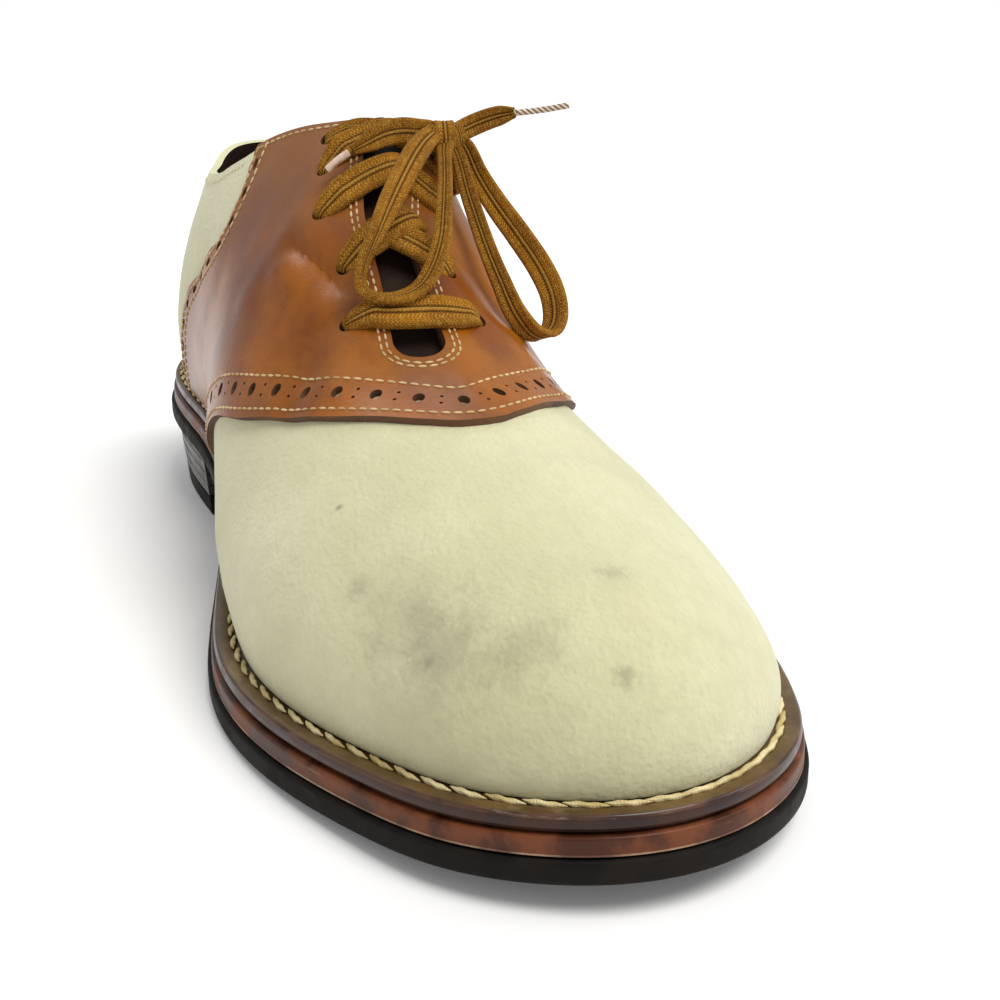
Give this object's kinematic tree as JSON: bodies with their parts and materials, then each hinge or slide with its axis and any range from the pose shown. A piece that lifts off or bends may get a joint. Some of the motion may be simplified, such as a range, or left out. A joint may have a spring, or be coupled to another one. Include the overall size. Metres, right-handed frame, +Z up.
{
  "type": "saddle shoe",
  "caption": "Left lace-up saddle shoe: cream leather upper, tan saddle over the instep, stitched welt, layered sole and stacked heel, laces tied in a bow.",
  "frame": {"origin": "floor under the middle of the shoe's length and of its widest reach to each side", "axes": "+Z up, +Y from the toe towards the heel along the shoe, +X towards the wearer's left, the outer side of this left shoe"},
  "size_m": [0.1173, 0.3098, 0.12],
  "materials": {
    "outsole_rubber": "matte near-black",
    "midsole_leather": "worn red-brown edge",
    "welt_leather": "semi-gloss olive brown with rope stitches",
    "insole_leather": "plain tan",
    "heel_leather": "dark stacked lifts",
    "heel_rubber": "matte near-black",
    "cream_nubuck": "napped pale cream, soiled at the toe",
    "saddle_leather": "glossy tan",
    "tongue_leather": "soft dark brown",
    "woven_lace": "flat golden tan weave with a pale rib",
    "aglet_film": "thin wrapped film"
  },
  "bodies": {
    "root": {"outsole": "outsole_rubber", "midsole": "midsole_leather", "welt": "welt_leather", "insole": "insole_leather", "heel_stack": "heel_leather", "heel_top_lift": "heel_rubber", "upper": "cream_nubuck", "saddle": "saddle_leather", "tongue": "tongue_leather", "lace_bar": "woven_lace", "lace_crossing_1": "woven_lace", "lace_crossing_2": "woven_lace", "lace_crossing_3": "woven_lace", "lace_knot": "woven_lace", "lace_front_loop": "woven_lace", "lace_side_loop": "woven_lace", "lace_long_end": "woven_lace", "lace_short_end": "woven_lace", "aglet_long": "aglet_film", "aglet_short": "aglet_film"}
  },
  "joints": []
}
